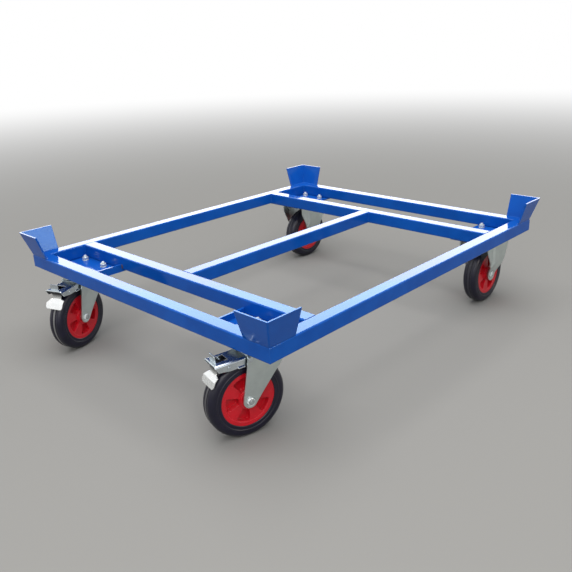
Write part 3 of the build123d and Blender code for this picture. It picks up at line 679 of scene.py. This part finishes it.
joints = {joint["name"]: joint for joint in frame["joints"]}
for side in sides:
    node = f"brake_housing_{side}"
    low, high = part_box(node)
    ahead = (low + high) / 2 - Vector(joints[f"swivel_{side}_turn"]["pos_m"])
    ahead.z = 0
    ahead.normalize()
    housing = merged_copy(node)
    front = max(vert.co.dot(ahead) for vert in housing.verts)
    bend = []
    for edge in housing.edges:
        at_front = all(vert.co.dot(ahead) > front - front_reach for vert in edge.verts)
        if at_front and len(edge.link_faces) == 2:
            up, out = sorted(edge.link_faces, key=lambda face: -face.normal.z)
            if up.normal.z > bend_facing and out.normal.dot(ahead) > bend_facing:
                bend.append(edge)
    bmesh.ops.bevel(
        housing, geom=bend, offset=front_bend, offset_type="OFFSET", affect="EDGES",
        segments=bend_segments, profile=0.5, clamp_overlap=False, material=-1,
    )
    round_edges(housing, housing_edge, clamp=False)
    put(housing, f"{node}_plated", f"swivel_{side}", "zinc_sheet", satin_zinc, node)
    node = f"brake_lever_{side}"
    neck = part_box(node)[1].z - neck_drop
    lever = merged_copy(node)
    round_edges(lever, lever_edge, clamp=False)
    # Painted shade: the strap above the neck, inside the housing, is coloured near black
    painted_strap_shade = lever.verts.layers.float.new("painted_strap_shade")
    for vert in lever.verts:
        if vert.co.z > neck:
            vert[painted_strap_shade] = 1.0
    put(lever, f"{node}_plated", f"brake_{side}", "bright_zinc", bright_zinc, node)
    dress(f"brake_pins_{side}", "plated", "zinc_fastener", satin_zinc, pin_edge)


# Wheel centres: injection moulded red plastic with five pockets in each face, a hub that runs
# on loose rollers, and a rim that the tyre is pressed onto.
red_full = (0.600, 0.006, 0.017)
red_deep = (0.520, 0.005, 0.015)
red_rubbed = (0.640, 0.040, 0.055)
centre_edge = 0.9 * mm

red_plastic, tree, shader = new_material("red_moulded_plastic")
shade = place_group(tree, clouds, Scale=30.0, Detail=3.0)
edges = place_group(tree, rubbed, Radius=1.4 * mm, Scale=200.0)
dust = place_group(tree, settled, Amount=0.10, Scale=160.0)
grain = place_group(tree, clouds, Scale=1100.0, Detail=2.0)
colour = blend_colours(tree, shade.outputs["Patch"], red_deep, red_full)
colour = blend_colours(tree, edges.outputs["Edge"], colour, red_rubbed)
colour = blend_colours(tree, dust.outputs["Dust"], colour, dust_grey)
tree.links.new(colour, shader.inputs["Base Color"])
vary_roughness(tree, shader, shade.outputs["Patch"], dull=0.36, light=0.28)
shader.inputs["Specular IOR Level"].default_value = 0.45
add_bump(tree, shader, grain.outputs["Patch"], strength=0.10, height=0.04 * mm)

wheels = [f"{kind}_wheel_{side}" for kind in ("fixed", "swivel") for side in sides]
for wheel in wheels:
    dress(f"{wheel}_centre", "moulded", "red_plastic", red_plastic, centre_edge, segments=3)
    finish_node(f"{wheel}_rollers", bearing_steel)


# Tyres: solid black rubber with rounded shoulders, two grooves round the tread and a raised ring
# on each sidewall. They are grey with dust from the floor along the tread.
rubber_black = (0.003, 0.003, 0.012)
rubber_worn = (0.008, 0.007, 0.021)
rubbed_grey = (0.045, 0.043, 0.045)
tread_dust = (0.22, 0.217, 0.212)
tyre_sides = 96

black_rubber, tree, shader = new_material("black_tyre_rubber")
shade = place_group(tree, clouds, Scale=34.0, Detail=5.0)
edges = place_group(tree, rubbed, Radius=1.5 * mm, Scale=160.0)
grain = place_group(tree, clouds, Scale=800.0, Detail=3.0)
colour = blend_colours(tree, shade.outputs["Patch"], rubber_black, rubber_worn)
colour = blend_colours(tree, edges.outputs["Edge"], colour, rubbed_grey)
dusty = add_node(tree, "ShaderNodeAttribute", {"attribute_name": "tread_dust"})
colour = blend_colours(tree, dusty.outputs["Fac"], colour, tread_dust)
tree.links.new(colour, shader.inputs["Base Color"])
vary_roughness(tree, shader, shade.outputs["Patch"], dull=0.42, light=0.32)
shader.inputs["Specular IOR Level"].default_value = 0.42
add_bump(tree, shader, grain.outputs["Patch"], strength=0.25, height=0.08 * mm)

wheel_joints = {
    "fixed_wheel_left": "back_wheel_left_roll",
    "fixed_wheel_right": "back_wheel_right_roll",
    "swivel_wheel_left": "front_wheel_left_roll",
    "swivel_wheel_right": "front_wheel_right_roll",
}
tyre_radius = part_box("fixed_wheel_left_tyre")[1].z / 2
tyre_half = 23 * mm
rim_radius = 69.5 * mm
shoulder = 14 * mm
shoulder_steps = 8
groove_at = 6 * mm
groove_half = 1.2 * mm
groove_depth = 1.5 * mm
groove_lip = 0.4 * mm
ring_radius = 80 * mm
ring_half = 1.0 * mm
ring_height = 0.7 * mm
rim_tuck = 0.8 * mm
dust_half = 2.2 * mm
dust_fade = 1.0 * mm
side_dust = 0.05
rib_dust = {
    "fixed_wheel_left": 0.10,
    "fixed_wheel_right": 0.10,
    "swivel_wheel_left": 0.75,
    "swivel_wheel_right": 0.35,
}

half = [
    (rim_radius, tyre_half - rim_tuck),
    (rim_radius + rim_tuck, tyre_half),
    (ring_radius - 2 * ring_half, tyre_half),
    (ring_radius - ring_half, tyre_half + ring_height),
    (ring_radius + ring_half, tyre_half + ring_height),
    (ring_radius + 2 * ring_half, tyre_half),
]
for step in range(shoulder_steps + 1):
    turn = math.pi / 2 * step / shoulder_steps
    half.append((
        tyre_radius - shoulder + shoulder * math.sin(turn),
        tyre_half - shoulder + shoulder * math.cos(turn),
    ))
half += [
    (tyre_radius, groove_at + groove_half + groove_lip),
    (tyre_radius - groove_lip, groove_at + groove_half),
    (tyre_radius - groove_depth, groove_at + groove_half - groove_lip),
    (tyre_radius - groove_depth, groove_at - groove_half + groove_lip),
    (tyre_radius - groove_lip, groove_at - groove_half),
    (tyre_radius, groove_at - groove_half - groove_lip),
    (tyre_radius, dust_half + dust_fade),
    (tyre_radius, dust_half),
]
outline = half + [(radius, -across) for radius, across in reversed(half)]


def wheel_place(wheel):
    joint = joints[wheel_joints[wheel]]
    aim = Vector(joint["axis"]).to_track_quat("Z", "Y").to_matrix().to_4x4()
    return Matrix.Translation(joint["pos_m"]) @ aim


for wheel in wheels:
    tyre = bmesh.new()
    add_turned(tyre, outline, tyre_sides)
    dust = tyre.verts.layers.float.new("tread_dust")
    for vert in tyre.verts:
        across = abs(vert.co.z)
        if vert.co.xy.length > tyre_radius - groove_lip / 2:
            vert[dust] = rib_dust[wheel] if across < dust_half + merge_gap else side_dust
    bmesh.ops.transform(tyre, matrix=wheel_place(wheel), verts=tyre.verts)
    body = joints[wheel_joints[wheel]]["child"]
    node = f"{wheel}_tyre"
    put(tyre, f"{node}_moulded", body, "black_rubber", black_rubber, node)


# Axles: a zinc plated bolt through the fork and the tube that the rollers run on, drawn up with a
# hexagon nut. Head and nut sit in the dishes pressed into the fork's legs, and their end faces are
# painted a darker grey than their bright flats, as painted shade.
axle_across = 17 * mm
axle_head = 6.4 * mm
axle_nut = 8 * mm
axle_radius = 5 * mm
axle_end = 1.5 * mm
axle_pitch = 1.5 * mm
axle_chamfer = 1.0 * mm
axle_turn = math.radians(17)
seat_face = 31 * mm
end_facing = 0.9
axle_light = (0.95, 0.97, 0.97)
axle_dull = (0.90, 0.93, 0.93)
# Painted shade: the end faces of heads, nuts and bolts are coloured a darker grey
end_shade_painted = (0.36, 0.38, 0.38)

polished_zinc, tree, shader = new_material("polished_zinc_axle")
shade = place_group(tree, clouds, Scale=120.0, Detail=4.0)
edges = place_group(tree, rubbed, Radius=0.8 * mm, Scale=400.0)
colour = blend_colours(tree, shade.outputs["Patch"], axle_dull, axle_light)
colour = blend_colours(tree, edges.outputs["Edge"], colour, axle_light)
end_shade_mask = add_node(tree, "ShaderNodeAttribute", {"attribute_name": "painted_end_shade"})
colour = blend_colours(tree, end_shade_mask.outputs["Fac"], colour, end_shade_painted)
tree.links.new(colour, shader.inputs["Base Color"])
shader.inputs["Metallic"].default_value = 0.3
vary_roughness(tree, shader, shade.outputs["Patch"], dull=0.38, light=0.28)


# Marks the faces that look along the axle, which get the painted shade
def paint_end_shade(shape, axis):
    dull = shape.faces.layers.float.new("painted_end_shade")
    for face in shape.faces:
        if abs(face.normal.dot(axis)) > end_facing:
            face[dull] = 1.0


axle_sets = {
    "fixed_axle_bolts": ("fixed_axle_nuts", "frame", ["fixed_wheel_left", "fixed_wheel_right"]),
    "swivel_axle_left_bolt": ("swivel_axle_left_nut", "swivel_left", ["swivel_wheel_left"]),
    "swivel_axle_right_bolt": ("swivel_axle_right_nut", "swivel_right", ["swivel_wheel_right"]),
}
axle_tip = seat_face + axle_nut + axle_end
shank = [(0, -seat_face), (axle_radius, -seat_face), (axle_radius, seat_face)]
shank += threaded(axle_radius, seat_face, axle_tip - axle_chamfer, axle_pitch)
shank += [(axle_radius - axle_chamfer, axle_tip), (0, axle_tip)]
for bolt_node, (nut_node, body, names) in axle_sets.items():
    axis = Vector(joints[wheel_joints[names[0]]]["axis"])
    spots = [wheel_place(name) @ Matrix.Rotation(axle_turn, 4, "Z") for name in names]
    bolts = bmesh.new()
    add_turned(bolts, shank)
    add_hexagon(bolts, axle_across, -seat_face - axle_head, -seat_face, head_core)
    repeat_at(bolts, spots)
    paint_end_shade(bolts, axis)
    put(bolts, f"{bolt_node}_plated", body, "zinc_fastener", polished_zinc, bolt_node)
    nuts = bmesh.new()
    add_hexagon(nuts, axle_across, seat_face, seat_face + axle_nut, axle_radius + thread_play)
    repeat_at(nuts, spots)
    paint_end_shade(nuts, axis)
    put(nuts, f"{nut_node}_plated", body, "zinc_fastener", polished_zinc, nut_node)

for node in ("fixed_axle_tubes", "swivel_axle_left_tube", "swivel_axle_right_tube"):
    finish_node(node, bright_fastener)


# Floor: a plain pale sheet that takes the shadows and fades to white far behind the dolly. It is
# matt, so nothing mirrors in it.
floor_half = 40.0
floor_cells = 8
floor_colour = (0.262, 0.255, 0.241)
fade_from = 1.0
fade_to = 9.0

pale_floor, tree, shader = new_material("pale_floor")
shader.inputs["Base Color"].default_value = (*floor_colour, 1)
shader.inputs["Roughness"].default_value = 0.85
shader.inputs["Specular IOR Level"].default_value = 0.0
spot = add_node(tree, "ShaderNodeTexCoord")
reach = add_node(tree, "ShaderNodeVectorMath", {"operation": "LENGTH"})
fade = add_ramp(tree, fade_from, fade_to, smooth=True)
rays = add_node(tree, "ShaderNodeLightPath")
seen = add_node(tree, "ShaderNodeMath", {"operation": "MULTIPLY"})
white = add_node(tree, "ShaderNodeEmission")
far = add_node(tree, "ShaderNodeMixShader")
tree.links.new(spot.outputs["Object"], reach.inputs[0])
tree.links.new(reach.outputs["Value"], fade.inputs["Value"])
tree.links.new(fade.outputs["Result"], seen.inputs[0])
tree.links.new(rays.outputs["Is Camera Ray"], seen.inputs[1])
tree.links.new(seen.outputs["Value"], far.inputs["Fac"])
tree.links.new(shader.outputs["BSDF"], far.inputs[1])
tree.links.new(white.outputs["Emission"], far.inputs[2])
tree.links.new(far.outputs["Shader"], tree.nodes["Material Output"].inputs["Surface"])

sheet = bmesh.new()
bmesh.ops.create_grid(sheet, x_segments=floor_cells, y_segments=floor_cells, size=floor_half)
floor_mesh = bpy.data.meshes.new("floor")
sheet.to_mesh(floor_mesh)
sheet.free()
floor_mesh.materials.append(pale_floor)
floor = bpy.data.objects.new("floor", floor_mesh)
bpy.context.scene.collection.objects.link(floor)


# Light: an even white sky and two large soft lamps, in front and above. Two long lamps behind the
# dolly, a white one low down and a greenish one over it, only show as gleam along the rail tops,
# and a small warm one at the right as gleam on the left guide.
sky_light = 0.62
sky_colour = (0.94, 0.97, 1.0)
plain_white = (1, 1, 1)
sky = bpy.data.worlds.new("even_sky")
bpy.context.scene.world = sky
sky.use_nodes = True
tree = sky.node_tree
lit = tree.nodes["Background"]
lit.inputs["Color"].default_value = (*sky_colour, 1)
lit.inputs["Strength"].default_value = sky_light
shown = add_node(tree, "ShaderNodeBackground", Strength=1.0)
shown.inputs["Color"].default_value = (*plain_white, 1)
rays = add_node(tree, "ShaderNodeLightPath")
mirror = add_node(tree, "ShaderNodeMath", {"operation": "MAXIMUM"})
either = add_node(tree, "ShaderNodeMath", {"operation": "MAXIMUM"})
pick = add_node(tree, "ShaderNodeMixShader")
tree.links.new(rays.outputs["Is Glossy Ray"], mirror.inputs[0])
tree.links.new(rays.outputs["Is Transmission Ray"], mirror.inputs[1])
tree.links.new(mirror.outputs["Value"], either.inputs[0])
tree.links.new(rays.outputs["Is Camera Ray"], either.inputs[1])
tree.links.new(either.outputs["Value"], pick.inputs["Fac"])
tree.links.new(lit.outputs["Background"], pick.inputs[1])
tree.links.new(shown.outputs["Background"], pick.inputs[2])
tree.links.new(pick.outputs["Shader"], tree.nodes["World Output"].inputs["Surface"])


def soft_lamp(name, watts, width, height, place, aim, colour):
    lamp = bpy.data.lights.new(name, "AREA")
    lamp.shape = "RECTANGLE"
    lamp.size = width
    lamp.size_y = height
    lamp.energy = watts
    lamp.color = colour
    holder = bpy.data.objects.new(name, lamp)
    holder.location = place
    holder.rotation_euler = (Vector(aim) - Vector(place)).to_track_quat("-Z", "Y").to_euler()
    holder.visible_camera = False
    bpy.context.scene.collection.objects.link(holder)
    return holder


soft_lamp(
    "soft_lamp_in_front", watts=185, width=4.5, height=4.5,
    place=(3.4, 3.2, 4.2), aim=(0, 0, 0.2), colour=plain_white,
)
soft_lamp(
    "soft_lamp_above", watts=230, width=5.0, height=5.0,
    place=(0, 0, 5.0), aim=(0, 0, 0), colour=plain_white,
)
gleams = [
    soft_lamp(
        "low_lamp_behind", watts=182, width=9.0, height=1.45,
        place=(-3.85, -3.59, 1.68), aim=(-0.2, -0.19, -0.37), colour=(1.0, 0.985, 0.97),
    ),
    soft_lamp(
        "high_lamp_behind", watts=198, width=9.0, height=1.45,
        place=(-3.45, -3.21, 3.02), aim=(0.2, 0.19, 0.97), colour=(0.78, 1.0, 0.93),
    ),
    soft_lamp(
        "small_lamp_at_right", watts=23, width=0.8, height=0.7,
        place=(-1.05, 2.96, 1.41), aim=(0.56, -0.52, 0.32), colour=(1.0, 0.86, 0.72),
    ),
]
for gleam in gleams:
    gleam.visible_diffuse = False


# Camera: at the photograph's place, a little above the dolly and off its near corner. The shift
# keeps the dolly where it lies in the photograph's frame.
viewer_place = (1.46128, 1.43555, 0.90278)
viewer_turn = (70.2384, 1.8794, 132.1562)
camera = bpy.data.cameras.new("camera")
camera.lens = 41.764
camera.sensor_width = 36
camera.shift_x = -0.03844
camera.shift_y = -0.02846
viewer = bpy.data.objects.new("camera", camera)
viewer.location = viewer_place
viewer.rotation_euler = [math.radians(angle) for angle in viewer_turn]
bpy.context.scene.collection.objects.link(viewer)
bpy.context.scene.camera = viewer
bpy.context.scene.view_settings.view_transform = "Standard"
